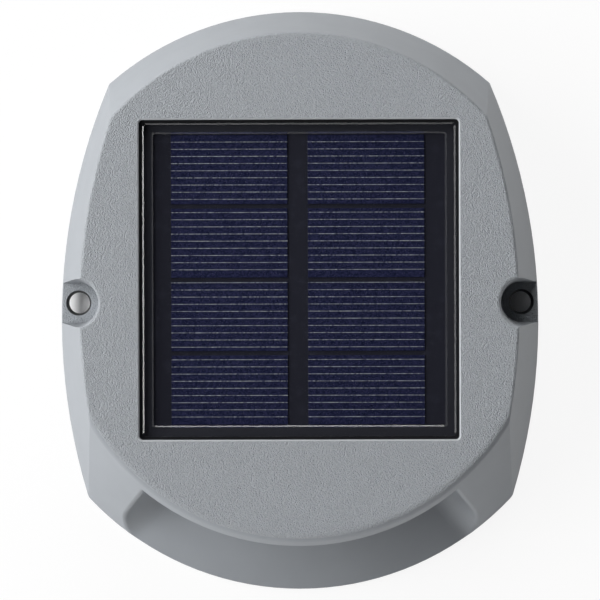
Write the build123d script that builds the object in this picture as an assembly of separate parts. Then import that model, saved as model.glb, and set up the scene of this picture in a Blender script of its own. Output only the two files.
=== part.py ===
from build123d import *
import os
from math import asin, atan2, cos, degrees, hypot, radians, sin, sqrt, tan

# Solar dock light. Millimetres, +Z up, origin under the middle of the foot, lamp towards -Y.

# Housing, outside
BODY_LENGTH = 146.3  # front to rear at the foot
BODY_WIDTH = 120.8  # across the bowed sides at the foot
BODY_HEIGHT = 34.0  # deck to top face
LAND_HEIGHT = 4.0  # upright edge round the foot
SIDE_RADIUS = 153.4  # bow of the sides at the foot
SIDE_Y = -4.9  # where the foot is widest
REAR_LEAN = 8.5  # how far the rear wall leans in by the top
FRONT_LEAN = 20.56  # how far the front corners lean back by the top
SIDE_LEAN = 7.3  # how far the sides lean in by the top
TOP_REAR_RADIUS = 60.8  # rear edge of the top face
TOP_FRONT_RADIUS = 58.9  # front edge of the top face
TOP_SIDE_RADIUS = 145.4  # side edges of the top face
TOP_SIDE_Y = -2.3  # where the top face is widest
REAR_CORNER = 1.2  # rounding of the upright rear corners
FRONT_CORNER = 4.0  # rounding of the upright front corners
TOP_EDGE = 0.7  # rounding of the side and rear edges of the top
FRONT_EDGE = 2.4  # softer rounding along the hood
WALL = 2.8
TOP_WALL = 2.8

# Light recess under the hood, a sector about the upright axis
RECESS_CHEEK = 10.2  # wall left between it and each front corner, round the foot
RECESS_BACK = 51.0  # radius of its back wall
RECESS_FOOT = 3.3  # height of its floor at the outer edge
RECESS_SLOPE = 22.0  # rise of its floor, in degrees
RECESS_CORNER = 7.0  # rounding between floor and side walls
RECESS_EDGE = 1.0  # rounding of its side edges on the front wall
HOOD_THICKNESS = 3.3

# Screw pockets at the sides
SCREW_SPACING = 112.0
SCREW_Y = -0.45  # a little in front of the middle
SCREW_HOLE = 5.3  # straight part of the mounting hole
SCREW_HOLE_MOUTH = 6.4  # its drafted mouth
SCREW_HOLE_STRAIGHT = 1.0
FLANGE = 5.0  # floor of the pocket above the deck
FLANGE_LIFT = 2.0  # its underside above the deck, open to the side
POCKET_FLOOR_RADIUS = 5.1
POCKET_TOP_RADIUS = 6.1
POCKET_LEAN = 1.4  # how far the pocket's round end leans in by the top

# Solar window and panel
WINDOW = 77.3  # square opening in the top
WINDOW_Y = 5.08
WINDOW_CORNER = 0.9
WINDOW_EDGE = 0.3  # broken upper edge of the opening
COVER_THICKNESS = 2.0
COVER_CREST = 71.4  # raised middle of the cover
COVER_CREST_RISE = 0.5
COVER_CREST_SLOPE = 0.5  # width of its sloping edge
COVER_SUNK = 0.1  # crest below the top face
COVER_BEVEL = 0.5  # width of the sloping edge all round
COVER_BEVEL_RISE = 0.24
WINDOW_SEAL_LIP = 0.7  # rubber round the cover's edge
WINDOW_SEAL_THICKNESS = 0.6
PANEL = 71.0
PANEL_BOARD = 1.6
PANEL_AIR = 0.7  # cell face to the underside of the cover
PANEL_CLEAR = 0.2
CELL_WIDTH = 28.2
CELL_DEPTH = 16.75
CELL_THICKNESS = 0.3
CELL_GAP_X = 4.95
CELL_X = -0.3  # the cells sit a little to the left
CELL_GAP_Y = 1.05
CELL_COLUMNS = 2
CELL_ROWS = 4
TRAY_WALL = 2.0
TRAY_SLOT_LENGTH = 9.0  # lead hole in the tray
TRAY_SLOT_WIDTH = 4.0

# Base plate
RIM = 4.0  # housing rim round the plate
PLATE = 3.0
PLATE_CLEAR = 0.25
PLATE_CORNER = 3.0
SEAL_THICKNESS = 1.0
SEAL_WIDTH = 1.6
SEAL_INSET = 1.2
SEAL_CLEAR = 0.4  # seal to the screw bosses
LEDGE_WIDTH = 5.0
LEDGE = 3.0
BOSS = 7.0
BOSS_TOP = 16.0
BASE_SCREW = 3.0
BASE_SCREW_LENGTH = 6.5  # under the head
BASE_SCREW_HEAD = 5.6
BASE_SCREW_HEAD_HEIGHT = 1.6
BASE_SCREW_SINK = 1.8  # depth of the head's counterbore
BASE_SCREW_REAR_ANGLE = 21.0  # rear pair, from straight back
BASE_SCREW_SIDE_YS = (24.0, -34.0)  # side pairs
BASE_SCREW_FRONT_ANGLE = 20.0  # front pair, from straight ahead
BASE_SCREW_FRONT_RADIUS = 55.0  # under the recess floor
THREAD_CLEAR = 0.05
HEAD_CLEAR = 0.3
OVERCUT = 1.0  # how far a cutter reaches past the face that it cuts

# Lens, reflector and lamp board
LENS_ANGLE = 26.0  # half angle of the lens opening
LENS_HEIGHT = 12.0
LENS_DROP = 2.7  # from the underside of the hood to the lens
LENS_CLEAR = 0.15
LENS_SUNK = 0.4
LENS_FLANGE = 2.0
LENS_FLANGE_REACH = 1.6
LENS_SEAL = 0.6
LAMP_BOARD_Y = -38.0  # front face of the lamp board
LAMP_BOARD = 1.6
LAMP_BOARD_LENGTH = 57.0
LAMP_BOARD_HEIGHT = 11.6
LAMP_PITCH = 10.0
LAMP_COUNT = 4
LAMP_SIZE = 5.0
LAMP_THICKNESS = 1.6
LAMP_SCREW_X = 26.0
LAMP_SCREW = 2.2
LAMP_SCREW_LENGTH = 5.6
LAMP_SCREW_HEAD = 4.0
LAMP_SCREW_HEAD_HEIGHT = 1.5
LAMP_BOSS = 5.0
REFLECTOR_LENGTH = 42.0
REFLECTOR_HEIGHT = 11.0
REFLECTOR_CLEAR = 0.2
CUP_THROAT = 7.5
CUP_MOUTH = 9.3

# Control board
BOARD_LENGTH = 50.0
BOARD_DEPTH = 32.0
BOARD_Y = -12.0
BOARD = 1.6
BOARD_STANDOFF = 6.0
STANDOFF = 5.5
BOARD_SCREW = 2.2
BOARD_SCREW_LENGTH = 5.0
BOARD_SCREW_HEAD = 4.0
BOARD_SCREW_HEAD_HEIGHT = 1.5
BOARD_SCREW_EDGE = 3.5
CHIP_LENGTH = 4.9
CHIP_WIDTH = 3.9
CHIP_HEIGHT = 1.6
CHIP_LEG = 1.0
INDUCTOR = 5.8
INDUCTOR_HEIGHT = 4.4
CAPACITOR = 5.0
CAPACITOR_HEIGHT = 7.0
CAPACITOR_PITCH = 7.0
HEADER_LENGTH = 7.5
HEADER_WIDTH = 5.7
HEADER_HEIGHT = 7.0

# Switch and button
BUTTON_Y = -12.0
BUTTON = 10.0
BUTTON_CLEAR = 0.1
BUTTON_TRAVEL = 1.0
BUTTON_SUNK = 0.7  # face above the deck
BUTTON_FLANGE = 12.4
BUTTON_FLANGE_THICKNESS = 1.0
BUTTON_NUB = 3.0
BUTTON_DISH = 18.0
BUTTON_DISH_DEPTH = 1.0
COLLAR_WALL = 1.4
COLLAR_HEIGHT = 2.6
BUTTON_RING = 0.9  # section of the seal ring
SWITCH = 6.2
SWITCH_HEIGHT = 3.5
PLUNGER = 3.4
PLUNGER_CLEAR = 0.15
PLUNGER_OUT = 0.6  # showing below the switch
PLUNGER_IN = 1.0

# Battery
CELL_DIAMETER = 14.2
CELL_LENGTH = 48.8
CELL_TIP = 5.5
CELL_TIP_LENGTH = 1.4
HOLDER_Y = 24.0
HOLDER_FLOOR = 1.2
HOLDER_WALL = 1.5
HOLDER_CLEAR = 0.3
HOLDER_SIDES = 9.0  # side walls above its floor
CONTACT_SPACE = 2.6
CONTACT_WIDTH = 8.0
CONTACT_THICKNESS = 0.4
CONTACT_TAB = 2.5
HOLDER_LUG = 7.0
HOLDER_LUG_THICKNESS = 2.0
HOLDER_BOSS_HEIGHT = 4.0

# Leads
WIRE = 1.2
WIRE_BEND = 1.8
WIRE_PITCH = 2.5

# Worked out from the sizes above
HALF_LENGTH = BODY_LENGTH / 2
HALF_WIDTH = BODY_WIDTH / 2
SCREW_X = SCREW_SPACING / 2
HOOD_UNDER = BODY_HEIGHT - HOOD_THICKNESS
LEDGE_UNDER = PLATE + SEAL_THICKNESS
LEDGE_TOP = LEDGE_UNDER + LEDGE
COVER = WINDOW - 2 * WINDOW_SEAL_LIP
COVER_RIM_TOP = BODY_HEIGHT - COVER_SUNK - COVER_CREST_RISE
COVER_UNDER = COVER_RIM_TOP - COVER_THICKNESS
WINDOW_LEDGE = COVER_UNDER - WINDOW_SEAL_THICKNESS
CELL_TOP = COVER_UNDER - PANEL_AIR
BOARD_FACE = CELL_TOP - CELL_THICKNESS
TRAY_FLOOR = BOARD_FACE - PANEL_BOARD
TRAY_UNDER = TRAY_FLOOR - TRAY_WALL
LENS_HIGH = HOOD_UNDER - LENS_DROP
LENS_LOW = LENS_HIGH - LENS_HEIGHT
LENS_MIDDLE = (LENS_LOW + LENS_HIGH) / 2
LENS_FLANGE_OUTER = RECESS_BACK - WALL - LENS_SEAL
LENS_FLANGE_INNER = LENS_FLANGE_OUTER - LENS_FLANGE
BOARD_UNDER = PLATE + BOARD_STANDOFF
BOARD_TOP = BOARD_UNDER + BOARD
SWITCH_UNDER = BOARD_UNDER - SWITCH_HEIGHT
PLUNGER_END = SWITCH_UNDER - PLUNGER_OUT
CELL_AXIS_Z = PLATE + HOLDER_FLOOR + HOLDER_CLEAR + CELL_DIAMETER / 2
HOLDER_INSIDE = CELL_LENGTH + CELL_TIP_LENGTH + 2 * CONTACT_SPACE
HOLDER_LENGTH = HOLDER_INSIDE + 2 * HOLDER_WALL
HOLDER_WIDTH = CELL_DIAMETER + 2 * HOLDER_CLEAR + 2 * HOLDER_WALL
HOLDER_SCREW_X = HOLDER_LENGTH / 2 + HOLDER_LUG / 2
SIDES = (-1, 1)
ON_FLOOR = (Align.CENTER, Align.CENTER, Align.MIN)


def crossing(c0, r0, c1, r1, pick):
    """The rearmost or foremost point where two circles cross."""
    dx = c1[0] - c0[0]
    dy = c1[1] - c0[1]
    d = hypot(dx, dy)
    a = (r0 * r0 - r1 * r1 + d * d) / (2 * d)
    h = sqrt(r0 * r0 - a * a)
    mx = c0[0] + a * dx / d
    my = c0[1] + a * dy / d
    both = [(mx + s * h * dy / d, my - s * h * dx / d) for s in SIDES]
    return pick(both, key=lambda p: p[1])


# The foot is one circle cut by two bowed sides; its front corners place the recess and the top's corners
foot_corner = crossing((0, 0), HALF_LENGTH, (HALF_WIDTH - SIDE_RADIUS, SIDE_Y), SIDE_RADIUS, min)
recess_angle = degrees(atan2(foot_corner[0], -foot_corner[1]) - RECESS_CHEEK / HALF_LENGTH)
top_half = HALF_WIDTH - SIDE_LEAN
top_corner_y = foot_corner[1] + FRONT_LEAN
top_corner_x = top_half - TOP_SIDE_RADIUS + sqrt(TOP_SIDE_RADIUS**2 - (top_corner_y - TOP_SIDE_Y) ** 2)
top_front_y = top_corner_y + sqrt(TOP_FRONT_RADIUS**2 - top_corner_x**2)
top_rear_y = HALF_LENGTH - REAR_LEAN - TOP_REAR_RADIUS

# Centre and radius of the rear arc, of the front arc, then half width, radius and place of the sides
FOOT = (0, HALF_LENGTH, 0, HALF_LENGTH, HALF_WIDTH, SIDE_RADIUS, SIDE_Y)
CROWN = (top_rear_y, TOP_REAR_RADIUS, top_front_y, TOP_FRONT_RADIUS, top_half, TOP_SIDE_RADIUS, TOP_SIDE_Y)


def section(z, inset=0.0):
    """The body's outline at height z, drawn in by inset: two end arcs and two bowed sides."""
    t = min(max((z - LAND_HEIGHT) / (BODY_HEIGHT - LAND_HEIGHT), 0), 1)
    here = [low + t * (high - low) for low, high in zip(FOOT, CROWN)]
    rear_y, rear_r, front_y, front_r, half, side_r, side_y = here
    rear_r -= inset
    front_r -= inset
    half -= inset
    side_r -= inset
    side_c = (half - side_r, side_y)
    rx, ry = crossing((0, rear_y), rear_r, side_c, side_r, max)
    fx, fy = crossing((0, front_y), front_r, side_c, side_r, min)
    edges = [
        ThreePointArc((rx, ry), (0, rear_y + rear_r), (-rx, ry)),
        ThreePointArc((-rx, ry), (-half, side_y), (-fx, fy)),
        ThreePointArc((-fx, fy), (0, front_y - front_r), (fx, fy)),
        ThreePointArc((fx, fy), (half, side_y), (rx, ry)),
    ]
    return Pos(0, 0, z) * make_face(Curve() + edges)


def sector(points, half_angle):
    """A profile of (radius, height) points turned about the upright axis, centred on straight ahead."""
    turned = revolve(make_face(Plane.XZ * Polyline(*points, close=True)), Axis.Z, 2 * half_angle)
    return Rot(0, 0, -90 - half_angle) * turned


def rounded_box(length, width, low, high, corner, x=0.0, y=0.0):
    return Pos(x, y, low) * extrude(RectangleRounded(length, width, corner), high - low)


def rod(diameter, low, high, x=0.0, y=0.0):
    return Pos(x, y, low) * Cylinder(diameter / 2, high - low, align=ON_FLOOR)


def rod_y(diameter, y0, y1, x, z):
    """A round bar along Y, from y0 forward to y1."""
    return Pos(x, y0, z) * Rot(90, 0, 0) * Cylinder(diameter / 2, y0 - y1, align=ON_FLOOR)


def block(length, width, low, high, x=0.0, y=0.0):
    return Pos(x, y, low) * Box(length, width, high - low, align=ON_FLOOR)


def pan_screw(shank, length, head, head_height):
    """Head down, shank up along +Z, the underside of the head at zero; the head's outer edge is rounded."""
    top = rod(shank, 0, length)
    cap = rod(head, -head_height, 0)
    cap = fillet(cap.edges().group_by(Axis.Z)[0], head_height * 0.45)
    return top + cap


def notch(radius_low, radius_high, low, high, lean, side):
    """A U-shaped pocket open to the outside; its round end leans towards the middle."""
    reach = HALF_WIDTH - SCREW_X + WALL
    lower = Circle(radius_low) + Pos(reach / 2, 0) * Rectangle(reach, 2 * radius_low)
    upper = Circle(radius_high) + Pos((reach + lean) / 2, 0) * Rectangle(reach + lean, 2 * radius_high)
    cut = loft([Pos(SCREW_X, SCREW_Y, low) * lower, Pos(SCREW_X - lean, SCREW_Y, high) * upper], ruled=True)
    return cut if side > 0 else mirror(cut, Plane.YZ)


def both_sides(seats):
    return [(s * x, y) for x, y in seats for s in SIDES]


# The plate's screws: just inside the seal at the sides and rear, and under the recess floor in front
boss_inset = RIM + SEAL_INSET + SEAL_WIDTH + SEAL_CLEAR + BOSS / 2
rear_turn = radians(BASE_SCREW_REAR_ANGLE)
front_turn = radians(BASE_SCREW_FRONT_ANGLE)
rear_radius = HALF_LENGTH - boss_inset
side_radius = SIDE_RADIUS - boss_inset
screw_seats = [
    (rear_radius * sin(rear_turn), rear_radius * cos(rear_turn)),
    (BASE_SCREW_FRONT_RADIUS * sin(front_turn), -BASE_SCREW_FRONT_RADIUS * cos(front_turn)),
]
for y in BASE_SCREW_SIDE_YS:
    screw_seats.append((HALF_WIDTH - SIDE_RADIUS + sqrt(side_radius**2 - (y - SIDE_Y) ** 2), y))
screw_seats = both_sides(screw_seats)

# Outline of the base plate's seat, with a bay round each screw flange
BAY = POCKET_FLOOR_RADIUS + WALL
seat = section(0, RIM)
for side in SIDES:
    seat -= Pos(side * SCREW_X, SCREW_Y) * (Circle(BAY) + Pos(side * BAY, 0) * Rectangle(2 * BAY, 2 * BAY))
seat = fillet([v for v in seat.vertices() if abs(v.Y) > 2 * BAY], PLATE_CORNER)


def seat_less(inset):
    return offset(seat, -inset) if inset else seat


# Housing: a tapered body with soft edges, hollowed from below
body = extrude(section(0), LAND_HEIGHT) + loft([section(LAND_HEIGHT), section(BODY_HEIGHT)], ruled=True)


def upright(e):
    return abs((e.position_at(1) - e.position_at(0)).Z) > LAND_HEIGHT / 2


def at_top(e):
    return e.position_at(0).Z > BODY_HEIGHT - 1e-3 and e.position_at(1).Z > BODY_HEIGHT - 1e-3


def front_ridge(e):
    return upright(e) and e.center().Y < -2 * BAY and abs(e.center().X) > HALF_WIDTH / 2


body = fillet([e for e in body.edges() if upright(e) and e.center().Y > 0], REAR_CORNER)
body = fillet(body.edges().filter_by(at_top).sort_by(Axis.Y)[0], FRONT_EDGE)
for side in SIDES:
    body -= notch(POCKET_FLOOR_RADIUS, POCKET_TOP_RADIUS, FLANGE, BODY_HEIGHT, POCKET_LEAN, side)
top_edges = [e for e in body.edges().filter_by(at_top) if e.center().Y > TOP_SIDE_Y - HALF_WIDTH / 2]
body = fillet(top_edges, TOP_EDGE)
body = fillet(body.edges().filter_by(front_ridge), FRONT_CORNER)

# The light recess and the solid wall that lines it
floor_rise = tan(radians(RECESS_SLOPE))
outside = HALF_LENGTH + WALL
recess_points = [
    (outside, RECESS_FOOT - WALL * floor_rise),
    (outside, HOOD_UNDER),
    (RECESS_BACK, HOOD_UNDER),
    (RECESS_BACK, RECESS_FOOT + (HALF_LENGTH - RECESS_BACK) * floor_rise),
]


def sloping(e):
    """Whether an edge climbs as a floor does: neither level nor upright."""
    rise = abs((e.position_at(1) - e.position_at(0)).Z) / e.length
    return e.geom_type == GeomType.LINE and 0.1 < rise < 0.6


recess = sector(recess_points, recess_angle)
recess = fillet(recess.edges().filter_by(sloping), RECESS_CORNER)
body -= recess


def on_front_wall(e):
    """Whether an edge lies on the front wall, beside the recess."""
    mid = e.position_at(0.5)
    t = (mid.Z - LAND_HEIGHT) / (BODY_HEIGHT - LAND_HEIGHT)
    away = hypot(mid.X, mid.Y - t * CROWN[2]) - HALF_LENGTH - t * (CROWN[3] - HALF_LENGTH)
    turn = abs(degrees(asin(mid.X / hypot(mid.X, mid.Y))))
    beside = mid.Y < 0 and recess_angle * 0.9 < turn < recess_angle * 1.01
    between = t > 0 and mid.Z < HOOD_UNDER - RECESS_EDGE
    return beside and between and abs(away) < RECESS_EDGE / 2


body = fillet(body.edges().filter_by(on_front_wall), RECESS_EDGE)
lining_drop = WALL / cos(radians(RECESS_SLOPE))
lining_points = [
    (outside, RECESS_FOOT - WALL * floor_rise - lining_drop),
    (outside, BODY_HEIGHT),
    (RECESS_BACK - WALL, BODY_HEIGHT),
    (RECESS_BACK - WALL, RECESS_FOOT + (HALF_LENGTH - RECESS_BACK + WALL) * floor_rise - lining_drop),
]
lining = sector(lining_points, recess_angle + degrees(asin(WALL / RECESS_BACK)))

# The hollow inside: the body less its wall, and less all that is moulded into it
tray = WINDOW + 2 * TRAY_WALL
hollow = loft([section(LEDGE_TOP, WALL), section(BODY_HEIGHT - TOP_WALL, WALL)], ruled=True)
hollow -= lining
hollow -= block(tray, tray, TRAY_UNDER, BODY_HEIGHT, y=WINDOW_Y)
for side in SIDES:
    hollow -= notch(POCKET_FLOOR_RADIUS + WALL, POCKET_TOP_RADIUS + WALL, 0, BODY_HEIGHT, POCKET_LEAN, side)
throat = extrude(Pos(0, 0, LEDGE_UNDER) * seat_less(LEDGE_WIDTH), LEDGE)
well = extrude(seat, LEDGE_UNDER)
bosses = [rod(BOSS, PLATE, BOSS_TOP, x, y) for x, y in screw_seats]
lamp_bosses = [rod_y(LAMP_BOSS, LAMP_BOARD_Y, -RECESS_BACK, s * LAMP_SCREW_X, LENS_MIDDLE) for s in SIDES]
hollow = hollow + throat - lining - bosses - lamp_bosses
well = well - [rod(BOSS, PLATE, LEDGE_UNDER, x, y) for x, y in screw_seats]

housing = body - hollow - well
housing -= rounded_box(WINDOW, WINDOW, WINDOW_LEDGE, BODY_HEIGHT, WINDOW_CORNER, y=WINDOW_Y)


def round_window(e):
    mid = e.center()
    return at_top(e) and max(abs(mid.X), abs(mid.Y - WINDOW_Y)) < WINDOW / 2 + WINDOW_EDGE


housing = chamfer(housing.edges().filter_by(round_window), WINDOW_EDGE)
pit = PANEL + 2 * PANEL_CLEAR
housing -= rounded_box(pit, pit, TRAY_FLOOR, BODY_HEIGHT, WINDOW_CORNER, y=WINDOW_Y)
lead_x = BOARD_LENGTH / 4
housing -= block(TRAY_SLOT_LENGTH, TRAY_SLOT_WIDTH, TRAY_UNDER, TRAY_FLOOR, lead_x, BOARD_Y + HEADER_WIDTH)
lens_slot = [
    (RECESS_BACK - 2 * WALL, LENS_LOW),
    (RECESS_BACK + WALL, LENS_LOW),
    (RECESS_BACK + WALL, LENS_HIGH),
    (RECESS_BACK - 2 * WALL, LENS_HIGH),
]
housing -= sector(lens_slot, LENS_ANGLE)
mouth_low = FLANGE_LIFT + SCREW_HOLE_STRAIGHT
mouth = Cone(SCREW_HOLE / 2, SCREW_HOLE_MOUTH / 2, FLANGE - mouth_low, align=ON_FLOOR)
for side in SIDES:
    housing -= notch(POCKET_FLOOR_RADIUS, POCKET_FLOOR_RADIUS, 0, FLANGE_LIFT, 0, side)
    housing -= rod(SCREW_HOLE, 0, FLANGE, side * SCREW_X, SCREW_Y)
    housing -= Pos(side * SCREW_X, SCREW_Y, mouth_low) * mouth
base_pilot = BASE_SCREW + 2 * THREAD_CLEAR
base_screw_seat = BASE_SCREW_SINK
base_screw_end = base_screw_seat + BASE_SCREW_LENGTH
housing -= [rod(base_pilot, PLATE, base_screw_end + HEAD_CLEAR, x, y) for x, y in screw_seats]
lamp_back = LAMP_BOARD_Y + LAMP_BOARD
lamp_pilot = LAMP_SCREW + 2 * THREAD_CLEAR
lamp_screw_tip = lamp_back - LAMP_SCREW_LENGTH
lamp_pilot_end = lamp_screw_tip - HEAD_CLEAR
for side in SIDES:
    housing -= rod_y(lamp_pilot, LAMP_BOARD_Y, lamp_pilot_end, side * LAMP_SCREW_X, LENS_MIDDLE)

# Clear cover over the panel: a bevelled plate with a raised middle
solar_window = rounded_box(COVER, COVER, COVER_UNDER, COVER_RIM_TOP, WINDOW_CORNER, y=WINDOW_Y)
cover_face = solar_window.faces().sort_by(Axis.Z)[-1]
solar_window = chamfer(cover_face.edges(), COVER_BEVEL, COVER_BEVEL_RISE, reference=cover_face)
crest_top = COVER_RIM_TOP + COVER_CREST_RISE
crest = rounded_box(COVER_CREST, COVER_CREST, COVER_RIM_TOP, crest_top, WINDOW_CORNER, y=WINDOW_Y)
crest_face = crest.faces().sort_by(Axis.Z)[-1]
crest = chamfer(crest_face.edges(), COVER_CREST_SLOPE, COVER_CREST_RISE * 0.85, reference=crest_face)
solar_window += crest

# Rubber seal under and round the cover
lip_top = COVER_RIM_TOP - COVER_BEVEL
window_gasket = rounded_box(WINDOW, WINDOW, WINDOW_LEDGE, lip_top, WINDOW_CORNER, y=WINDOW_Y)
window_gasket -= rounded_box(COVER, COVER, COVER_UNDER, BODY_HEIGHT, WINDOW_CORNER, y=WINDOW_Y)
window_gasket -= rounded_box(pit, pit, WINDOW_LEDGE, BODY_HEIGHT, WINDOW_CORNER, y=WINDOW_Y)

# Panel board and its cells
solar_board = rounded_box(PANEL, PANEL, TRAY_FLOOR, BOARD_FACE, WINDOW_CORNER, y=WINDOW_Y)
cell_grid = GridLocations(CELL_WIDTH + CELL_GAP_X, CELL_DEPTH + CELL_GAP_Y, CELL_COLUMNS, CELL_ROWS)
solar_cell = block(CELL_WIDTH, CELL_DEPTH, BOARD_FACE, CELL_TOP, x=CELL_X, y=WINDOW_Y)
solar_cells = [place * solar_cell for place in cell_grid]

# Front lens: a curved clear strip with a flange behind the wall, and its seal
clear_angle = degrees(LENS_CLEAR / RECESS_BACK)
reach_angle = degrees(LENS_FLANGE_REACH / RECESS_BACK)
strip = [
    (LENS_FLANGE_INNER, LENS_LOW + LENS_CLEAR),
    (RECESS_BACK - LENS_SUNK, LENS_LOW + LENS_CLEAR),
    (RECESS_BACK - LENS_SUNK, LENS_HIGH - LENS_CLEAR),
    (LENS_FLANGE_INNER, LENS_HIGH - LENS_CLEAR),
]


def band(inner, outer, reach):
    """Points of an upright band round the lens opening, reach wider than it above and below."""
    low = LENS_LOW - reach
    high = LENS_HIGH + reach
    return [(inner, low), (outer, low), (outer, high), (inner, high)]


light_lens = sector(strip, LENS_ANGLE - clear_angle)
flange_angle = LENS_ANGLE + reach_angle
light_lens += sector(band(LENS_FLANGE_INNER, LENS_FLANGE_OUTER, LENS_FLANGE_REACH), flange_angle)
seal_outer = LENS_FLANGE_OUTER + LENS_SEAL
lens_gasket = sector(band(LENS_FLANGE_OUTER, seal_outer, LENS_FLANGE_REACH), flange_angle)
lens_gasket -= sector(band(LENS_FLANGE_OUTER - WALL, RECESS_BACK, 0), LENS_ANGLE)

# Reflector with one cup for each lamp, flat behind and curved to the lens in front
lamp_xs = [(i - (LAMP_COUNT - 1) / 2) * LAMP_PITCH for i in range(LAMP_COUNT)]
face_radius = LENS_FLANGE_INNER - REFLECTOR_CLEAR
half_height = REFLECTOR_HEIGHT / 2
led_reflector = rod(2 * face_radius, LENS_MIDDLE - half_height, LENS_MIDDLE + half_height)
slab = Box(REFLECTOR_LENGTH, face_radius, REFLECTOR_HEIGHT)
led_reflector &= Pos(0, LAMP_BOARD_Y - face_radius / 2, LENS_MIDDLE) * slab
cup_depth = face_radius + LAMP_BOARD_Y
for x in lamp_xs:
    cup = Cone(CUP_THROAT / 2, CUP_MOUTH / 2, cup_depth, align=ON_FLOOR)
    led_reflector -= Pos(x, LAMP_BOARD_Y, LENS_MIDDLE) * Rot(90, 0, 0) * cup

# Lamp board, its lamps and the two screws that hold it to the recess wall
lamp_box = Box(LAMP_BOARD_LENGTH, LAMP_BOARD, LAMP_BOARD_HEIGHT)
led_board = Pos(0, LAMP_BOARD_Y + LAMP_BOARD / 2, LENS_MIDDLE) * lamp_box
for side in SIDES:
    led_board -= rod_y(lamp_pilot, lamp_back, LAMP_BOARD_Y, side * LAMP_SCREW_X, LENS_MIDDLE)
lamp = Box(LAMP_SIZE, LAMP_THICKNESS, LAMP_SIZE)
dome = Pos(0, -LAMP_THICKNESS / 2, 0) * Rot(90, 0, 0) * Cylinder(LAMP_SIZE * 0.4, LAMP_THICKNESS * 0.2)
lamp -= dome
led_emitters = [Pos(x, LAMP_BOARD_Y - LAMP_THICKNESS / 2, LENS_MIDDLE) * lamp for x in lamp_xs]
lamp_screw = pan_screw(LAMP_SCREW, LAMP_SCREW_LENGTH, LAMP_SCREW_HEAD, LAMP_SCREW_HEAD_HEIGHT)
led_screws = [Pos(s * LAMP_SCREW_X, lamp_back, LENS_MIDDLE) * Rot(90, 0, 0) * lamp_screw for s in SIDES]

# Base plate with its standoffs, screw seats, button collar and finger dish
base_plate = extrude(seat_less(PLATE_CLEAR), PLATE)
standoffs = [
    (sx * (BOARD_LENGTH / 2 - BOARD_SCREW_EDGE), BOARD_Y + sy * (BOARD_DEPTH / 2 - BOARD_SCREW_EDGE))
    for sx in SIDES
    for sy in SIDES
]
lugs = [(s * HOLDER_SCREW_X, HOLDER_Y) for s in SIDES]
collar_bore = BUTTON_FLANGE + 2 * BUTTON_CLEAR
base_plate += [rod(STANDOFF, PLATE, BOARD_UNDER, x, y) for x, y in standoffs]
base_plate += [rod(STANDOFF, PLATE, PLATE + HOLDER_BOSS_HEIGHT, x, y) for x, y in lugs]
base_plate += rod(collar_bore + 2 * COLLAR_WALL, PLATE, PLATE + COLLAR_HEIGHT, y=BUTTON_Y)
base_plate -= rod(collar_bore, PLATE, PLATE + COLLAR_HEIGHT, y=BUTTON_Y)
bore = BUTTON + 2 * BUTTON_CLEAR
base_plate -= rod(bore, 0, PLATE, y=BUTTON_Y)
dish = Cone(BUTTON_DISH / 2, bore / 2, BUTTON_DISH_DEPTH, align=ON_FLOOR)
base_plate -= Pos(0, BUTTON_Y, 0) * dish
for x, y in screw_seats:
    base_plate -= rod(base_pilot, 0, PLATE, x, y)
    base_plate -= rod(BASE_SCREW_HEAD + 2 * HEAD_CLEAR, 0, BASE_SCREW_SINK, x, y)
board_pilot = BOARD_SCREW + 2 * THREAD_CLEAR
board_screw_tip = BOARD_TOP - BOARD_SCREW_LENGTH
holder_lug_top = PLATE + HOLDER_BOSS_HEIGHT + HOLDER_LUG_THICKNESS
holder_screw_tip = holder_lug_top - BOARD_SCREW_LENGTH
base_plate -= [rod(board_pilot, board_screw_tip - HEAD_CLEAR, BOARD_UNDER, x, y) for x, y in standoffs]
base_plate -= [rod(board_pilot, holder_screw_tip - HEAD_CLEAR, holder_lug_top, x, y) for x, y in lugs]

# Rubber seal between plate and ledge, and the plate's screws
seal_outline = seat_less(SEAL_INSET) - seat_less(SEAL_INSET + SEAL_WIDTH)
base_seal = extrude(Pos(0, 0, PLATE) * seal_outline, SEAL_THICKNESS)
base_screw = pan_screw(BASE_SCREW, BASE_SCREW_LENGTH, BASE_SCREW_HEAD, BASE_SCREW_HEAD_HEIGHT)
base_screws = [Pos(x, y, base_screw_seat) * base_screw for x, y in screw_seats]

# Control board on its standoffs, with what is soldered to it
board_corner = BOARD_SCREW_EDGE / 2
circuit_board = rounded_box(BOARD_LENGTH, BOARD_DEPTH, BOARD_UNDER, BOARD_TOP, board_corner, y=BOARD_Y)
circuit_board -= [rod(board_pilot, BOARD_UNDER, BOARD_TOP, x, y) for x, y in standoffs]
board_screw = pan_screw(BOARD_SCREW, BOARD_SCREW_LENGTH, BOARD_SCREW_HEAD, BOARD_SCREW_HEAD_HEIGHT)
board_screw = Rot(180, 0, 0) * board_screw
board_screws = [Pos(x, y, BOARD_TOP) * board_screw for x, y in standoffs]
holder_screws = [Pos(x, y, holder_lug_top) * board_screw for x, y in lugs]
chip_y = BOARD_Y - BOARD_DEPTH / 8
control_chip = block(CHIP_LENGTH, CHIP_WIDTH, BOARD_TOP, BOARD_TOP + CHIP_HEIGHT, 0, chip_y)
leg_pitch = CHIP_LENGTH / 4
chip_leg = block(leg_pitch / 3, CHIP_LEG, BOARD_TOP, BOARD_TOP + CHIP_HEIGHT / 3, y=chip_y)
for place in GridLocations(leg_pitch, CHIP_WIDTH + CHIP_LEG, 4, 2):
    control_chip += place * chip_leg
inductor_x = -BOARD_LENGTH / 5
inductor_top = BOARD_TOP + INDUCTOR_HEIGHT
power_inductor = rod(INDUCTOR, BOARD_TOP, inductor_top, inductor_x, chip_y)
waist_edge = INDUCTOR_HEIGHT / 4
waist = rod(INDUCTOR + OVERCUT, BOARD_TOP + waist_edge, inductor_top - waist_edge, inductor_x, chip_y)
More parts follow.
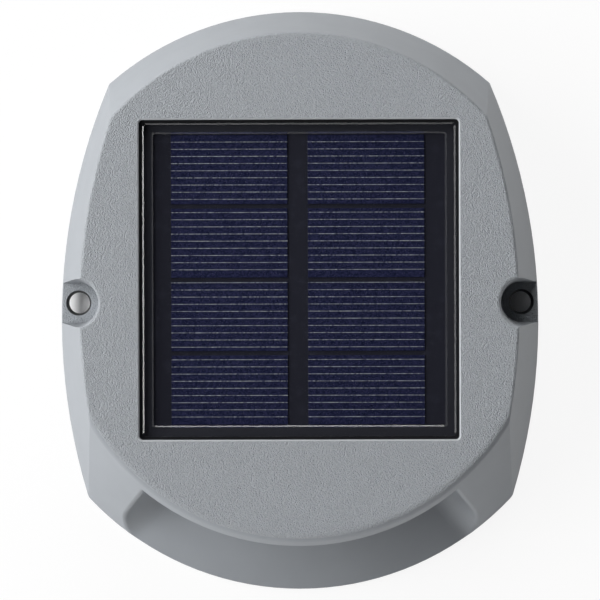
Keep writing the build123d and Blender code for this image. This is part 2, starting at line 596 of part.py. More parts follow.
waist -= rod(INDUCTOR * 0.86, BOARD_TOP, inductor_top, inductor_x, chip_y)
power_inductor -= waist
capacitor_y = BOARD_Y + BOARD_DEPTH / 5
capacitor = rod(CAPACITOR, BOARD_TOP, BOARD_TOP + CAPACITOR_HEIGHT)
capacitor = fillet(capacitor.edges().group_by(Axis.Z)[-1], CAPACITOR / 12)
capacitors = [Pos(s * CAPACITOR_PITCH / 2, capacitor_y, 0) * capacitor for s in SIDES]
header_top = BOARD_TOP + HEADER_HEIGHT
solar_header = (lead_x, BOARD_Y)
battery_header = (-BOARD_LENGTH / 4, BOARD_Y + BOARD_DEPTH / 4)
lamp_header = (0, BOARD_Y - BOARD_DEPTH / 2 + HEADER_WIDTH / 2)
header_places = (solar_header, battery_header, lamp_header)
wire_headers = [block(HEADER_LENGTH, HEADER_WIDTH, BOARD_TOP, header_top, x, y) for x, y in header_places]

# Push switch under the board, its plunger, the button and the button's seal ring
switch_body = block(SWITCH, SWITCH, SWITCH_UNDER, BOARD_UNDER, y=BUTTON_Y)
plunger_top = SWITCH_UNDER + PLUNGER_IN
plunger_bore_top = plunger_top + BUTTON_TRAVEL + PLUNGER_CLEAR
switch_body -= rod(PLUNGER + 2 * PLUNGER_CLEAR, SWITCH_UNDER, plunger_bore_top, y=BUTTON_Y)
switch_plunger = rod(PLUNGER, PLUNGER_END, plunger_top, y=BUTTON_Y)
flange_top = PLATE + BUTTON_FLANGE_THICKNESS
power_button = rod(BUTTON, BUTTON_SUNK, PLATE, y=BUTTON_Y)
power_button = fillet(power_button.edges().group_by(Axis.Z)[0], BUTTON_SUNK / 2)
power_button += rod(BUTTON_FLANGE, PLATE, flange_top, y=BUTTON_Y)
power_button += rod(BUTTON_NUB, flange_top, PLUNGER_END, y=BUTTON_Y)
ring_z = PLATE - BUTTON_RING
ring_radius = BUTTON / 2 - BUTTON_RING / 2
groove = rod(BUTTON + OVERCUT, ring_z - BUTTON_RING / 2, ring_z + BUTTON_RING / 2, y=BUTTON_Y)
groove -= rod(BUTTON - 2 * BUTTON_RING, 0, PLATE, y=BUTTON_Y)
power_button -= groove
button_seal = Pos(0, BUTTON_Y, ring_z) * Torus(ring_radius, BUTTON_RING / 2)

# Battery cell in its holder, with a flat contact at one end and a folded spring contact at the other
cell_x = CELL_TIP_LENGTH / 2
tube = Cylinder(CELL_DIAMETER / 2, CELL_LENGTH)
tube = fillet(tube.edges(), HOLDER_CLEAR)
tip = Pos(0, 0, (CELL_LENGTH + CELL_TIP_LENGTH) / 2) * Cylinder(CELL_TIP / 2, CELL_TIP_LENGTH)
battery_cell = Pos(-cell_x, HOLDER_Y, CELL_AXIS_Z) * Rot(0, 90, 0) * (tube + tip)
holder_floor = PLATE + HOLDER_FLOOR
battery_holder = block(HOLDER_LENGTH, HOLDER_WIDTH, PLATE, holder_floor + HOLDER_SIDES, y=HOLDER_Y)
inner_width = HOLDER_WIDTH - 2 * HOLDER_WALL
channel = Pos(0, HOLDER_Y, CELL_AXIS_Z) * Rot(0, 90, 0) * Cylinder(inner_width / 2, HOLDER_INSIDE)
channel += block(HOLDER_INSIDE, inner_width, CELL_AXIS_Z, CELL_AXIS_Z + CELL_DIAMETER, y=HOLDER_Y)
battery_holder -= channel
lug_low = PLATE + HOLDER_BOSS_HEIGHT
for x, y in lugs:
    lug_x = x - HOLDER_LUG / 4 if x > 0 else x + HOLDER_LUG / 4
    lug = block(HOLDER_LUG / 2, HOLDER_LUG, lug_low, holder_lug_top, lug_x, y)
    battery_holder += lug + rod(HOLDER_LUG, lug_low, holder_lug_top, x, y)
    battery_holder -= rod(board_pilot, lug_low, holder_lug_top, x, y)
tab_top = holder_floor + HOLDER_SIDES + CONTACT_TAB
contact_low = holder_floor + HOLDER_FLOOR
half_inside = HOLDER_INSIDE / 2
cell_plus = CELL_LENGTH / 2 - cell_x + CELL_TIP_LENGTH
cell_minus = -CELL_LENGTH / 2 - cell_x


def strap(points):
    """A strip of spring metal bent to a line of points in the XZ plane, standing in the holder."""
    line = Polyline(*points)
    bent = make_face(offset(line, CONTACT_THICKNESS / 2, kind=Kind.INTERSECTION, side=Side.BOTH))
    return Pos(0, HOLDER_Y, 0) * extrude(Plane.XZ * bent, CONTACT_WIDTH / 2, both=True)


t = CONTACT_THICKNESS / 2
plus_x = half_inside - t
minus_x = t - half_inside
fold = CELL_DIAMETER / 4
positive_contact = strap([
    (plus_x, tab_top),
    (plus_x, CELL_AXIS_Z + fold),
    (cell_plus + t, CELL_AXIS_Z + fold / 2),
    (cell_plus + t, CELL_AXIS_Z - fold / 2),
    (plus_x - 2 * t, CELL_AXIS_Z - fold),
])
negative_contact = strap([
    (minus_x, tab_top),
    (minus_x, CELL_AXIS_Z + fold),
    (cell_minus - t, CELL_AXIS_Z + fold / 2),
    (cell_minus - t, CELL_AXIS_Z - fold / 2),
    (minus_x + 2 * t, CELL_AXIS_Z - fold),
])


def lead(*points):
    """A round insulated wire along straight runs joined by tangent arcs."""
    path = FilletPolyline(*points, radius=WIRE_BEND)
    return sweep(Plane(path @ 0, z_dir=path % 0) * Circle(WIRE / 2), path)


p = WIRE_PITCH / 2
slot_y = BOARD_Y + HEADER_WIDTH
drop = (TRAY_FLOOR - header_top) / 4
solar_leads = [
    lead(
        (lead_x + s * p, slot_y, TRAY_FLOOR),
        (lead_x + s * p, slot_y, TRAY_FLOOR - drop),
        (lead_x + s * p, BOARD_Y, header_top + drop),
        (lead_x + s * p, BOARD_Y, header_top),
    )
    for s in SIDES
]
lamp_wire_z = header_top - HEADER_HEIGHT / 3
header_face = lamp_header[1] - HEADER_WIDTH / 2
run = (header_face - lamp_back) / 3
led_leads = [
    lead(
        (s * p, lamp_back, LENS_MIDDLE - p),
        (s * p, lamp_back + run, LENS_MIDDLE - p),
        (s * p, header_face - run, lamp_wire_z),
        (s * p, header_face, lamp_wire_z),
    )
    for s in SIDES
]
over_z = (header_top + TRAY_UNDER) / 2
battery_leads = [
    lead(
        (x, HOLDER_Y, tab_top + t),
        (x, HOLDER_Y, over_z),
        (battery_header[0] + q, battery_header[1], over_z),
        (battery_header[0] + q, battery_header[1], header_top),
    )
    for x, q in ((plus_x, p), (minus_x, -p))
]

# One file for each piece, or each group of like pieces
pieces = {
    "housing": housing,
    "solar_window": solar_window,
    "window_gasket": window_gasket,
    "solar_board": solar_board,
    "solar_cells": solar_cells,
    "light_lens": light_lens,
    "lens_gasket": lens_gasket,
    "led_reflector": led_reflector,
    "led_board": led_board,
    "led_emitters": led_emitters,
    "led_screws": led_screws,
    "base_plate": base_plate,
    "base_seal": base_seal,
    "base_screws": base_screws,
    "circuit_board": circuit_board,
    "board_screws": board_screws,
    "control_chip": control_chip,
    "power_inductor": power_inductor,
    "capacitors": capacitors,
    "wire_headers": wire_headers,
    "switch_body": switch_body,
    "switch_plunger": switch_plunger,
    "power_button": power_button,
    "button_seal": button_seal,
    "battery_cell": battery_cell,
    "battery_holder": battery_holder,
    "positive_contact": positive_contact,
    "negative_contact": negative_contact,
    "holder_screws": holder_screws,
    "solar_lead_minus": solar_leads[0],
    "solar_lead_plus": solar_leads[1],
    "led_lead_minus": led_leads[0],
    "led_lead_plus": led_leads[1],
    "battery_lead_plus": battery_leads[0],
    "battery_lead_minus": battery_leads[1],
}
os.makedirs("parts", exist_ok=True)
for name, piece in pieces.items():
    whole = Compound(children=piece) if isinstance(piece, list) else piece
    export_step(whole, os.path.join("parts", name + ".step"))
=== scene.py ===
import bmesh
import bpy
import numpy as np
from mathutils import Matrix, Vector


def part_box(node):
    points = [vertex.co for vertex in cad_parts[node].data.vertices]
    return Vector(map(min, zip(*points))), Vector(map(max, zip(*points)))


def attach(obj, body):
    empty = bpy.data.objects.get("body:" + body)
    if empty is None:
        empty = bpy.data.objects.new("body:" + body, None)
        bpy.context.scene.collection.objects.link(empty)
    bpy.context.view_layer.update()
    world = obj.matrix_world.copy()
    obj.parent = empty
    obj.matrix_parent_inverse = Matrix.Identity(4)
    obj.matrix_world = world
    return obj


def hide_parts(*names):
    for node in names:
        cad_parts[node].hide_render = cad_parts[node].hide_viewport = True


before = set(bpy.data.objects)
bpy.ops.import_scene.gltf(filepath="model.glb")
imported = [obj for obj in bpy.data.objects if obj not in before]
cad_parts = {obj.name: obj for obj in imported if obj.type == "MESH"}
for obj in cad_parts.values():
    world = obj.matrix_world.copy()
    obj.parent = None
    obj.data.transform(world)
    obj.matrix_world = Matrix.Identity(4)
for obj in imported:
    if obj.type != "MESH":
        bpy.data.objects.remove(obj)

bpy.context.scene.view_settings.view_transform = "Standard"
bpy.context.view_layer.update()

# Housing. One injection moulding in grey ABS: a low dome with a hood over the lamp recess and a screw
# pocket at each side. The mould is spark-eroded on the top face and the pocket floors, which leaves a fine
# pebbled grain; the walls are smooth, the window's edge carries a painted highlight and the screw holes are
# painted dark as shade.
MM = 0.001
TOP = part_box("housing")[1][2]
TOP_DEPTH = 0.32 * MM  # as far down as the top face counts, with the window's broken edge
TOP_FADE = 0.07 * MM
POCKET_FLOOR = 5 * MM
POCKET_AXIS = np.array([56.0, -0.45]) * MM
POCKET_RADIUS = 7 * MM
LEVEL = 0.05 * MM  # as near as a height counts as the floor's
BORE_RADIUS = 3.25 * MM  # just outside the screw hole's mouth
BORE_TOP = POCKET_FLOOR - 0.03 * MM
GRAIN = 0.28 * MM  # pebble to pebble
GRAIN_DEPTH = 0.19 * MM
CLOUD = 9 * MM  # drifts in the pigment
WINDOW_MIDDLE = 5.08 * MM
WINDOW_HALF = 38.65 * MM
WINDOW_BEND = 1.58 * MM  # as far from a corner as the opening's edge starts to bend
HIGHLIGHT_RIM_WIDTH = 0.34 * MM  # the band along the window's edge that is painted pale as a highlight


def linear(code):
    """An sRGB hex colour as the linear one that shaders take: each channel's share of 255, offset and raised
    to the power 2.4, or only divided by 12.92 where it is nearly black."""
    srgb = np.array([int(code[i:i + 2], 16) for i in (1, 3, 5)]) / 255
    light = np.where(srgb <= 0.04045, srgb / 12.92, ((srgb + 0.055) / 1.055) ** 2.4)
    return (*light.tolist(), 1.0)


def add(tree, kind, inputs=None, **settings):
    """Adds a shader node: settings are its properties, inputs its sockets, each a value or an output."""
    made = tree.nodes.new("ShaderNode" + kind)
    for name, value in settings.items():
        setattr(made, name, value)
    for key, value in (inputs or {}).items():
        if isinstance(value, bpy.types.NodeSocket):
            tree.links.new(value, made.inputs[key])
        else:
            made.inputs[key].default_value = value
    return made


def new_material(name):
    """An empty node material, its tree, and the place of each point in the object."""
    made = bpy.data.materials.new(name)
    made.use_nodes = True
    made.node_tree.nodes.clear()
    return made, made.node_tree, add(made.node_tree, "TexCoord").outputs["Object"]


def show(made, shader):
    """Ends a material with its shader and gives it back."""
    add(made.node_tree, "OutputMaterial", {"Surface": shader})
    return made


def dress(material, *names):
    """Puts a material on CAD nodes."""
    for name in names:
        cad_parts[name].material_slots[0].material = material


def from_window(tree, axes, bend):
    """How far a point lies from the window's middle: the larger of its distances across and along, so that
    equal distances are squares, eased near the diagonals, so that the squares' corners bend."""
    across = add(tree, "Math", {0: axes["X"]}, operation="ABSOLUTE").outputs[0]
    along = add(tree, "Math", {0: axes["Y"], 1: WINDOW_MIDDLE}, operation="SUBTRACT").outputs[0]
    along = add(tree, "Math", {0: along}, operation="ABSOLUTE").outputs[0]
    return add(tree, "Math", {0: across, 1: along, 2: bend}, operation="SMOOTH_MAX").outputs[0]


def grained_abs():
    """Moulded ABS: matt, with a touch of cloud in the pigment, and pebbles where the mould was eroded. The
    eroded places, the window's edge painted pale as a highlight and the bores painted dark as shade are
    found by height and by distance from an axis."""
    made, tree, place = new_material("grained_grey_abs")
    axes = add(tree, "SeparateXYZ", {0: place}).outputs
    fade = {0: axes["Z"], 1: TOP - TOP_DEPTH, 2: TOP - TOP_DEPTH + TOP_FADE}
    on_top = add(tree, "MapRange", fade).outputs[0]
    across = add(tree, "Math", {0: axes["X"]}, operation="ABSOLUTE").outputs[0]
    flat = add(tree, "CombineXYZ", {0: across, 1: axes["Y"]}).outputs[0]
    to_screw = {0: flat, 1: (*POCKET_AXIS, 0)}
    away = add(tree, "VectorMath", to_screw, operation="DISTANCE").outputs["Value"]
    near = add(tree, "Math", {0: away, 1: POCKET_RADIUS}, operation="LESS_THAN").outputs[0]
    level = {0: axes["Z"], 1: POCKET_FLOOR, 2: LEVEL}
    level = add(tree, "Math", level, operation="COMPARE").outputs[0]
    on_floor = add(tree, "Math", {0: near, 1: level}, operation="MULTIPLY").outputs[0]
    # painted highlight: a pale band along the window's edge on the top face
    pale_rim_highlight = {0: from_window(tree, axes, WINDOW_BEND), 1: WINDOW_HALF + HIGHLIGHT_RIM_WIDTH}
    pale_rim_highlight = add(tree, "Math", pale_rim_highlight, operation="LESS_THAN").outputs[0]
    pale_rim_highlight = add(tree, "Math", {0: pale_rim_highlight, 1: on_top}, operation="MULTIPLY").outputs[0]
    eroded = add(tree, "Math", {0: on_top, 1: on_floor}, operation="MAXIMUM").outputs[0]
    eroded = add(tree, "Math", {0: eroded, 1: pale_rim_highlight}, operation="SUBTRACT", use_clamp=True).outputs[0]
    # painted shade: the screw holes' walls, near the axis and below the pocket floor, are coloured dark
    inside = add(tree, "Math", {0: away, 1: BORE_RADIUS}, operation="LESS_THAN").outputs[0]
    below = add(tree, "Math", {0: axes["Z"], 1: BORE_TOP}, operation="LESS_THAN").outputs[0]
    painted_bore_shade = add(tree, "Math", {0: inside, 1: below}, operation="MULTIPLY").outputs[0]
    pebbles = add(tree, "TexNoise", {"Vector": place, "Scale": 1 / GRAIN, "Detail": 0.0}).outputs[0]
    pits = {"Vector": place, "Scale": 1 / GRAIN}
    pits = add(tree, "TexVoronoi", pits, feature="SMOOTH_F1").outputs[0]
    relief = add(tree, "Math", {0: pebbles, 1: pits}, operation="SUBTRACT").outputs[0]
    relief = add(tree, "Math", {0: relief, 1: eroded}, operation="MULTIPLY").outputs[0]
    bump = add(tree, "Bump", {"Height": relief, "Strength": 1.0, "Distance": GRAIN_DEPTH}).outputs[0]
    cloud = add(tree, "TexNoise", {"Vector": place, "Scale": 1 / CLOUD, "Detail": 3.0}).outputs[0]
    smooth = {0: cloud, 6: linear("#8c9095"), 7: linear("#93979c")}
    smooth = add(tree, "Mix", smooth, data_type="RGBA").outputs[2]
    glint = add(tree, "TexVoronoi", {"Vector": place, "Scale": 1 / GRAIN}).outputs["Color"]
    glint = add(tree, "SeparateXYZ", {0: glint}).outputs["X"]
    pebbled = {0: glint, 6: linear("#979b9f"), 7: linear("#a2a6ab")}
    pebbled = add(tree, "Mix", pebbled, data_type="RGBA").outputs[2]
    colour = smooth
    # over the smooth tone: the eroded grain, the painted highlight on the window's edge and the painted
    # shade in the screw holes
    for where, tone in ((eroded, pebbled), (pale_rim_highlight, linear("#b6b9bd")), (painted_bore_shade, linear("#2c2d2f"))):
        colour = add(tree, "Mix", {0: where, 6: colour, 7: tone}, data_type="RGBA").outputs[2]
    rough = add(tree, "MapRange", {0: eroded, 3: 0.56, 4: 0.64}).outputs[0]
    shader = {"Base Color": colour, "Roughness": rough, "Normal": bump, "IOR": 1.53}
    return show(made, add(tree, "BsdfPrincipled", shader).outputs[0])


dress(grained_abs(), "housing")

# Solar panel. A black circuit board carries eight poly-crystalline cells in two columns, each cut from a
# larger wafer, so the printed silver fingers start at a different place in each row.
CELL_LOW, CELL_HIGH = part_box("solar_cells")
CELL_SIZE = np.array([28.2, 16.75]) * MM
CELL_BEVEL = 0.06 * MM
CRYSTAL = 0.33 * MM
FINGER_PITCH = 1.733 * MM
FINGER_WIDTH = 0.15 * MM  # printed at about 0.1 mm, drawn wider so that it shows
FINGER_FADE = 0.3  # of its half width, at each side
FINGER_HEIGHT = 0.015 * MM
FIRST_FINGERS = np.array([1.7, 0.97, 0.18, 1.03]) * MM  # below the top edge of each row, from the rear
FINGERS = np.array([9, 9, 10, 9])  # in each row
PASTE_LUMP = 0.4 * MM  # thick and thin places in the printed paste
TRACK = 3 * MM  # copper under the lacquer
TRACK_HEIGHT = 0.004 * MM
LACQUER_FLOW = 2.5 * MM


def skin(name, rings):
    """A closed surface through a stack of rings of equally many points.

    Quads join neighbouring points, and a cap closes each end."""
    levels, around = rings.shape[:2]
    corner = np.arange(levels * around).reshape(levels, around)
    here, above = corner[:-1], corner[1:]
    quads = np.stack([here, np.roll(here, -1, 1), np.roll(above, -1, 1), above], -1).reshape(-1, 4)
    faces = quads.tolist() + [corner[0, ::-1].tolist(), corner[-1].tolist()]
    mesh = bpy.data.meshes.new(name)
    mesh.from_pydata(rings.reshape(-1, 3).tolist(), [], faces)
    mesh.validate()
    piece = bpy.data.objects.new(name, mesh)
    bpy.context.collection.objects.link(piece)
    return piece


def join(name, pieces):
    """Makes one object of several, under a new name."""
    with bpy.context.temp_override(active_object=pieces[0], selected_editable_objects=pieces):
        bpy.ops.object.join()
    pieces[0].name = pieces[0].data.name = name
    return pieces[0]


def wafer(x, y):
    """A thin slab with a broken upper edge: rectangles at the foot, below the edge and inside it on top."""
    corners = np.array([[-1, -1], [1, -1], [1, 1], [-1, 1]]) / 2
    sizes = np.array([CELL_SIZE, CELL_SIZE, CELL_SIZE - 2 * CELL_BEVEL])
    levels = np.array([CELL_LOW[2], CELL_HIGH[2] - CELL_BEVEL, CELL_HIGH[2]])
    flat = corners[None] * sizes[:, None] + (x, y)
    heights = np.broadcast_to(levels[:, None, None], (3, 4, 1))
    return skin("wafer", np.concatenate([flat, heights], -1))


def silicon():
    """Poly-crystalline silicon under a blue anti-reflection film, speckled by its crystals, with silver
    fingers. The UV map counts pitches: X on to the last finger, Y since the first one. A finger lies near
    each whole count, where neither count is below minus a half."""
    made, tree, place = new_material("blue_silicon")
    count = add(tree, "UVMap", uv_map="fingers").outputs[0]
    count = add(tree, "SeparateXYZ", {0: count}).outputs
    away = add(tree, "Math", {0: count["Y"], 1: 0.5}, operation="PINGPONG").outputs[0]
    half = FINGER_WIDTH / FINGER_PITCH / 2
    fade = {0: away, 1: half * (1 + FINGER_FADE), 2: half * (1 - FINGER_FADE)}
    finger = add(tree, "MapRange", fade).outputs[0]
    for counted_on in (count["X"], count["Y"]):
        printed = add(tree, "Math", {0: counted_on, 1: -0.5}, operation="GREATER_THAN").outputs[0]
        finger = add(tree, "Math", {0: finger, 1: printed}, operation="MULTIPLY").outputs[0]
    paste = add(tree, "TexNoise", {"Vector": place, "Scale": 1 / PASTE_LUMP, "Detail": 1.0}).outputs[0]
    paste = add(tree, "MapRange", {0: paste, 1: 0.34, 2: 0.66, 3: 0.1, 4: 1.0}).outputs[0]
    finger = add(tree, "Math", {0: finger, 1: paste}, operation="MULTIPLY").outputs[0]
    crystal = add(tree, "TexVoronoi", {"Vector": place, "Scale": 1 / CRYSTAL}).outputs["Color"]
    crystal = add(tree, "SeparateXYZ", {0: crystal}).outputs["X"]
    film = {0: crystal, 6: linear("#1b1d38"), 7: linear("#3a3b5c")}
    film = add(tree, "Mix", film, data_type="RGBA").outputs[2]
    colour = {0: finger, 6: film, 7: linear("#d6d6d9")}
    colour = add(tree, "Mix", colour, data_type="RGBA").outputs[2]
    rough = add(tree, "MapRange", {0: finger, 3: 0.45, 4: 0.55}).outputs[0]
    bump = add(tree, "Bump", {"Height": finger, "Strength": 0.6, "Distance": FINGER_HEIGHT}).outputs[0]
    shader = {"Base Color": colour, "Roughness": rough, "Normal": bump}
    shader |= {"IOR": 1.5, "Specular IOR Level": 0.15}  # the film swallows most of the gloss
    return show(made, add(tree, "BsdfPrincipled", shader).outputs[0])


columns = np.array([CELL_LOW[0] + CELL_SIZE[0] / 2, CELL_HIGH[0] - CELL_SIZE[0] / 2])
rows = np.linspace(CELL_HIGH[1] - CELL_SIZE[1] / 2, CELL_LOW[1] + CELL_SIZE[1] / 2, len(FINGERS))
cells = join("cell_wafers", [wafer(x, y) for y in rows for x in columns])
points = np.empty(len(cells.data.vertices) * 3)
cells.data.vertices.foreach_get("co", points)
corner_vertex = np.empty(len(cells.data.loops), dtype=np.int32)
cells.data.loops.foreach_get("vertex_index", corner_vertex)
spot = points.reshape(-1, 3)[corner_vertex]
row = np.abs(spot[:, 1, None] - rows).argmin(1)
down = rows[row] + CELL_SIZE[1] / 2 - spot[:, 1]
done = (down - FIRST_FINGERS[row]) / FINGER_PITCH
counted = np.stack([FINGERS[row] - 1 - done, done], -1)
cells.data.uv_layers.new(name="fingers").data.foreach_set("uv", counted.ravel())
cells.data.materials.append(silicon())
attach(cells, "body")
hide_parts("solar_cells")


def solder_mask(name, colour, shade):
    """Screen-printed lacquer over copper: even and nearly matt, a little darker over the tracks."""
    made, tree, place = new_material(name)
    under = {"Vector": place, "Scale": 1 / TRACK}
    under = add(tree, "TexVoronoi", under, distance="MANHATTAN").outputs[0]
    under = add(tree, "MapRange", {0: under, 1: 0.35, 2: 0.5}).outputs[0]
    tint = {0: under, 6: linear(colour), 7: linear(shade)}
    tint = add(tree, "Mix", tint, data_type="RGBA").outputs[2]
    flow = add(tree, "TexNoise", {"Vector": place, "Scale": 1 / LACQUER_FLOW, "Detail": 0.0}).outputs[0]
    rough = add(tree, "MapRange", {0: flow, 3: 0.44, 4: 0.54}).outputs[0]
    bump = add(tree, "Bump", {"Height": under, "Strength": 0.3, "Distance": TRACK_HEIGHT}).outputs[0]
    shader = {"Base Color": tint, "Roughness": rough, "Normal": bump, "IOR": 1.55}
    return show(made, add(tree, "BsdfPrincipled", shader).outputs[0])


dress(solder_mask("black_solder_mask", "#34333e", "#2e2d37"), "solar_board")

# Window. A polished polycarbonate cover with a bevelled rim and a raised middle, pressed down on a black
# EPDM seal. The seal's lip stands up round the cover's edge and is darker there, as painted shade of the
# gap;
# through the cover the seal shows a lighter grey.
COVER_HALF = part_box("solar_window")[1][0]
UNDER_COVER_INSET = 0.3 * MM  # from the cover's edge
HAZE = 14 * MM
MOTTLE = 0.8 * MM
MOTTLE_DEPTH = 0.03 * MM


def clear_polycarbonate(name):
    """Clear moulded plastic with a hard polish; lamps shine through it."""
    made, tree, place = new_material(name)
    haze = add(tree, "TexNoise", {"Vector": place, "Scale": 1 / HAZE, "Detail": 2.0}).outputs[0]
    rough = add(tree, "MapRange", {0: haze, 3: 0.01, 4: 0.05}).outputs[0]
    shader = {"Base Color": linear("#f6f8f8"), "Roughness": rough, "IOR": 1.58, "Transmission Weight": 1.0}
    solid = add(tree, "BsdfPrincipled", shader).outputs[0]
    lamps = add(tree, "LightPath").outputs["Is Shadow Ray"]
    through = add(tree, "BsdfTransparent", {0: linear("#e8ebeb")}).outputs[0]
    return show(made, add(tree, "MixShader", {0: lamps, 1: solid, 2: through}).outputs[0])


def rubber(name, lip_shaded):
    """EPDM: black and matt, with a pressed sheet's faint mottle. Lip-shaded, it is a lighter grey under the
    cover, where it is nearer to the window's middle than the cover's edge is, and the lip outside keeps the
    dark tone as painted shade."""
    made, tree, place = new_material(name)
    mottle = add(tree, "TexNoise", {"Vector": place, "Scale": 1 / MOTTLE, "Detail": 3.0}).outputs[0]
    colour = {0: mottle, 6: linear("#141416"), 7: linear("#1c1c1f")}
    colour = add(tree, "Mix", colour, data_type="RGBA").outputs[2]
    if lip_shaded:
        # painted shade: outside the cover's edge the seal's lip keeps the darker tone, as the gap round the
        # cover is in shade
        axes = add(tree, "SeparateXYZ", {0: place}).outputs
        under = {0: from_window(tree, axes, 0.0), 1: COVER_HALF - UNDER_COVER_INSET}
        under = add(tree, "Math", under, operation="LESS_THAN").outputs[0]
        under_cover_tone = {0: mottle, 6: linear("#323138"), 7: linear("#3e3d44")}
        under_cover_tone = add(tree, "Mix", under_cover_tone, data_type="RGBA").outputs[2]
        colour = add(tree, "Mix", {0: under, 6: colour, 7: under_cover_tone}, data_type="RGBA").outputs[2]
    rough = add(tree, "MapRange", {0: mottle, 3: 0.6, 4: 0.8}).outputs[0]
    bump = add(tree, "Bump", {"Height": mottle, "Strength": 0.5, "Distance": MOTTLE_DEPTH}).outputs[0]
    shader = {"Base Color": colour, "Roughness": rough, "Normal": bump, "IOR": 1.52}
    return show(made, add(tree, "BsdfPrincipled", shader).outputs[0])


epdm = rubber("black_epdm", False)
dress(clear_polycarbonate("clear_polycarbonate"), "solar_window")
dress(rubber("lip_shaded_epdm", True), "window_gasket")

# Lamp. Four white LEDs on a small board with a white lacquer, screwed to bosses behind the recess wall,
# and a bright white reflector with a cup for each.
LAMP_LOW, LAMP_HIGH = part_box("led_emitters")
LAMP_PITCH = 10 * MM
PHOSPHOR = 2.05 * MM  # radius of the round well in each package
PHOSPHOR_EDGE = 0.1 * MM
GEL = 0.4 * MM
METAL_LINE = 0.25 * MM  # drawn coarser than it is, so that it shows
METAL_STRETCH = 8  # a line's length to its width


def lamp_package():
    """A white resin package with a round well of yellow phosphor, found by its distance from the axis."""
    made, tree, place = new_material("led_package")
    axes = add(tree, "SeparateXYZ", {0: place}).outputs
    across = add(tree, "Math", {0: axes["X"], 1: LAMP_PITCH / 2}, operation="ADD").outputs[0]
    across = add(tree, "Math", {0: across, 1: LAMP_PITCH / 2}, operation="PINGPONG").outputs[0]
    middle = (LAMP_LOW[2] + LAMP_HIGH[2]) / 2
    up = add(tree, "Math", {0: axes["Z"], 1: middle}, operation="SUBTRACT").outputs[0]
    flat = add(tree, "CombineXYZ", {0: across, 1: up}).outputs[0]
    away = add(tree, "VectorMath", {0: flat}, operation="LENGTH").outputs["Value"]
    well = add(tree, "MapRange", {0: away, 1: PHOSPHOR, 2: PHOSPHOR - PHOSPHOR_EDGE}).outputs[0]
    gel = add(tree, "TexNoise", {"Vector": place, "Scale": 1 / GEL}).outputs[0]
    yellow = {0: gel, 6: linear("#e2c64a"), 7: linear("#f0dc74")}
    yellow = add(tree, "Mix", yellow, data_type="RGBA").outputs[2]
    colour = {0: well, 6: linear("#ecebe4"), 7: yellow}
    colour = add(tree, "Mix", colour, data_type="RGBA").outputs[2]
    rough = add(tree, "MapRange", {0: well, 3: 0.5, 4: 0.22}).outputs[0]
    shader = {"Base Color": colour, "Roughness": rough, "IOR": 1.5}
    return show(made, add(tree, "BsdfPrincipled", shader).outputs[0])


def moulded(name, dark, light, grain, depth, low, high, ior=1.5):
    """A plain moulded surface: two close tones in a mottle of the given grain and depth, which also takes
    its roughness from low to high."""
    made, tree, place = new_material(name)
    mottle = add(tree, "TexNoise", {"Vector": place, "Scale": 1 / grain, "Detail": 3.0}).outputs[0]
    colour = {0: mottle, 6: linear(dark), 7: linear(light)}
    colour = add(tree, "Mix", colour, data_type="RGBA").outputs[2]
    rough = add(tree, "MapRange", {0: mottle, 3: low, 4: high}).outputs[0]
    bump = add(tree, "Bump", {"Height": mottle, "Strength": 0.6, "Distance": depth}).outputs[0]
    shader = {"Base Color": colour, "Roughness": rough, "Normal": bump, "IOR": ior}
    return show(made, add(tree, "BsdfPrincipled", shader).outputs[0])


def bright_metal(name, dark, light, low, high):
    """Bright metal with the faint lines of cold forming, which take its roughness from low to high."""
    made, tree, place = new_material(name)
    drawn = add(tree, "Mapping", {"Vector": place, "Scale": (1, 1, METAL_STRETCH)}).outputs[0]
    lines = add(tree, "TexNoise", {"Vector": drawn, "Scale": 1 / METAL_LINE, "Detail": 2.0}).outputs[0]
    colour = {0: lines, 6: linear(dark), 7: linear(light)}
    colour = add(tree, "Mix", colour, data_type="RGBA").outputs[2]
    rough = add(tree, "MapRange", {0: lines, 3: low, 4: high}).outputs[0]
    shader = {"Base Color": colour, "Roughness": rough, "Metallic": 1.0}
    return show(made, add(tree, "BsdfPrincipled", shader).outputs[0])


steel = bright_metal("stainless_steel", "#a9abae", "#c6c8ca", 0.22, 0.38)
white_abs = moulded("white_reflector_abs", "#e9e9e5", "#f2f2ee", 1.2 * MM, 0.004 * MM, 0.16, 0.26)
dress(lamp_package(), "led_emitters")
dress(solder_mask("white_solder_mask", "#e6e6e0", "#dedfd9"), "led_board")
dress(white_abs, "led_reflector")
dress(steel, "led_screws")

# Front lens. A curved strip of clear polycarbonate with upright flutes on its back, which spread the light
# sideways. A flange all round holds it against the recess wall on its own seal.
LENS_LOW, LENS_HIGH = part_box("light_lens")
RECESS_RADIUS = 51 * MM  # radii about the housing's axis
LENS_FRONT = 50.6 * MM
FLANGE_FRONT = 47.6 * MM
FLANGE_BACK = 45.6 * MM
FLANGE_STEP = 1.75 * MM  # from the strip to the flange's edge, all round
FLANGE_TURN = np.radians(27.8)
FLANGE_COLUMNS = 10
STRIP_TURN = FLANGE_TURN - FLANGE_STEP / RECESS_RADIUS
LENS_EDGE = 0.4 * MM
LENS_CREASE = 35  # degrees
FLUTE = np.radians(2.4)  # about 1.9 mm on the back
FLUTE_DEPTH = 0.45 * MM
FLUTE_COLUMNS = 12
QUARTER_TURN = np.linspace(0, np.pi / 2, 7)  # steps round an edge
TOGETHER = 0.001 * MM  # points as near as this are one


